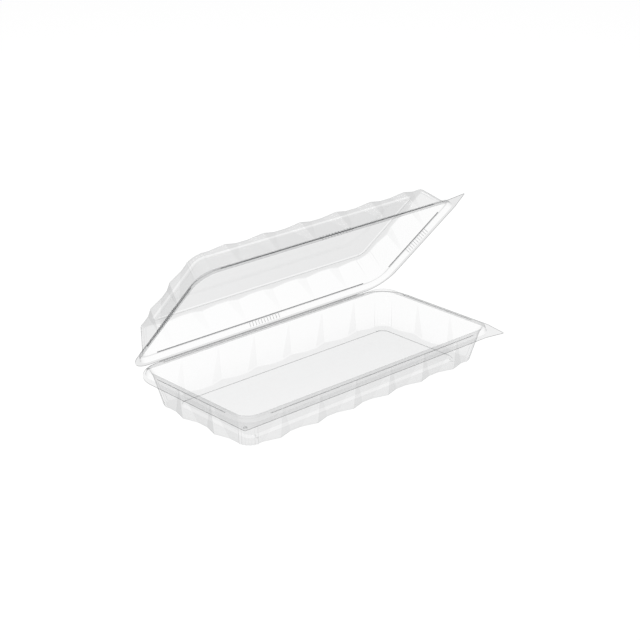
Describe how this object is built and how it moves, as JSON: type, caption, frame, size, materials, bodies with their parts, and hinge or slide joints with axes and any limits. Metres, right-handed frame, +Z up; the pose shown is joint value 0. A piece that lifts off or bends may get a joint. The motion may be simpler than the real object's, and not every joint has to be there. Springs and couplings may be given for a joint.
{
  "type": "hinged clamshell food container",
  "caption": "Clear long hinged clamshell with fluted tray and lid, snap rim and pull tabs, lid propped open on its living hinge.",
  "frame": {"origin": "on the table, under the middle of the open pack's outline, lid and tray together", "axes": "+Z up, +X along the pack's length towards the end with the pull tabs, +Y towards the hinge"},
  "size_m": [0.32, 0.1722, 0.1582],
  "materials": {
    "clear_tray": "clear formed PET sheet, glossy",
    "clear_lid": "clear formed PET sheet, glossy"
  },
  "bodies": {
    "tray": {"base_tray": "clear_tray"},
    "lid": {"lid": "clear_lid"}
  },
  "joints": [
    {"name": "lid_hinge", "type": "hinge", "parent": "tray", "child": "lid", "pos_m": [0, 0.07509, 0.03015], "axis": [-1, 0, 0], "range_deg": [-48.4, 131.6]}
  ]
}
